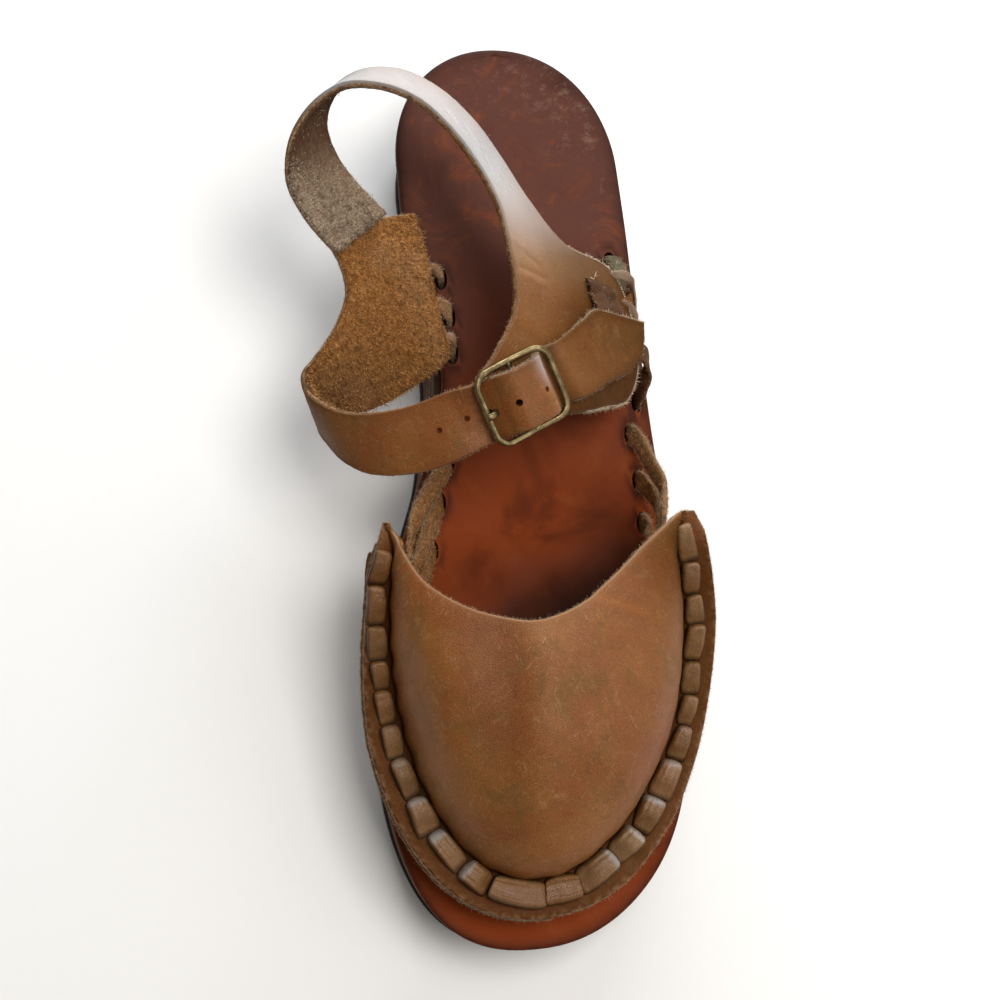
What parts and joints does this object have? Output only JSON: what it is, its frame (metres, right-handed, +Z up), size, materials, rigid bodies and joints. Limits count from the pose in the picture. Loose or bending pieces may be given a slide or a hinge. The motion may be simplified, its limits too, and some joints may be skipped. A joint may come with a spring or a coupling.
{
  "type": "laced ankle-strap sandal",
  "caption": "Left leather sandal with a closed domed vamp laced to a low wall, an open waist, a buckled ankle cuff and a stacked low wedge sole.",
  "frame": {"origin": "on the ground, under the middle of the heel", "axes": "+Z up, +Y to the heel and -Y to the toe, +X to the lateral (outer) side of this left shoe"},
  "size_m": [0.1182, 0.267, 0.0777],
  "materials": {
    "black_rubber": "matt, fine grain",
    "dark_wedge": "dark brown microcellular wedge, waxed edge",
    "footbed_leather": "smooth red-brown, worn shine",
    "oiled_leather": "oiled grain, suede flesh side",
    "lace_leather": "soft split thong, frayed edges",
    "aged_brass": "aged, satin"
  },
  "bodies": {
    "root": {"outsole": "black_rubber", "midsole": "dark_wedge", "footbed": "footbed_leather", "vamp": "oiled_leather", "vamp_side_wall": "oiled_leather", "vamp_seam_lace": "lace_leather", "vamp_outer_lace": "lace_leather", "lateral_quarter_and_heel_strap": "oiled_leather", "medial_quarter_and_instep_strap": "oiled_leather", "buckle_frame": "aged_brass", "buckle_prong": "aged_brass", "buckle_chape": "oiled_leather", "lateral_wing_lace_1": "lace_leather", "lateral_wing_lace_2": "lace_leather", "lateral_wing_lace_3": "lace_leather", "medial_wing_lace_1": "lace_leather", "medial_wing_lace_2": "lace_leather", "lateral_quarter_lace_1": "lace_leather", "lateral_quarter_lace_2": "lace_leather", "lateral_quarter_lace_3": "lace_leather", "lateral_quarter_lace_4": "lace_leather", "medial_quarter_lace_1": "lace_leather", "medial_quarter_lace_2": "lace_leather", "medial_quarter_lace_3": "lace_leather"}
  },
  "joints": []
}
